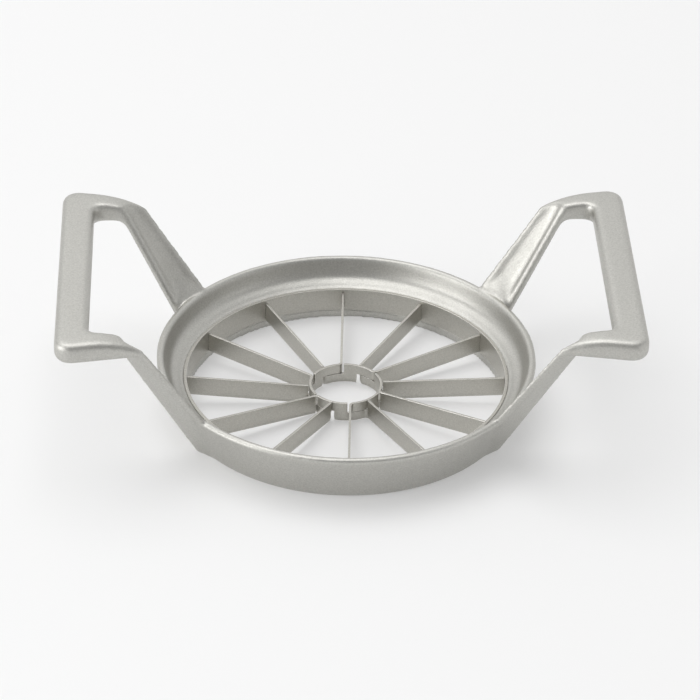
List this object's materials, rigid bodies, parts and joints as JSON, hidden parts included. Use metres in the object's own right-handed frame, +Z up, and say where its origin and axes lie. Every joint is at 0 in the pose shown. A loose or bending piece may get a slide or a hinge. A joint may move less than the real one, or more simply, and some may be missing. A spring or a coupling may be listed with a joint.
{
  "type": "apple slicer",
  "caption": "Apple slicer and corer pressed down by loop handles: a flared cast ring holds a steel band and interlocked bent strips that form radial blades and a core ring.",
  "frame": {"origin": "centre of the ring on the plane it stands on", "axes": "+X to the right-hand handle, +Y to the back, +Z up from the table towards the grips"},
  "size_m": [0.196, 0.1308, 0.0554],
  "materials": {
    "casting": "cast aluminium, fine satin blasted",
    "band_steel": "rolled stainless steel sheet, satin",
    "blade_steel": "stainless steel strip, fine grain along the blade, ground lower edge"
  },
  "bodies": {
    "root": {"frame_casting": "casting", "blade_band": "band_steel", "blade_strip_1": "blade_steel", "blade_strip_2": "blade_steel", "blade_strip_3": "blade_steel", "blade_strip_4": "blade_steel", "blade_strip_5": "blade_steel", "blade_strip_6": "blade_steel"}
  },
  "joints": []
}
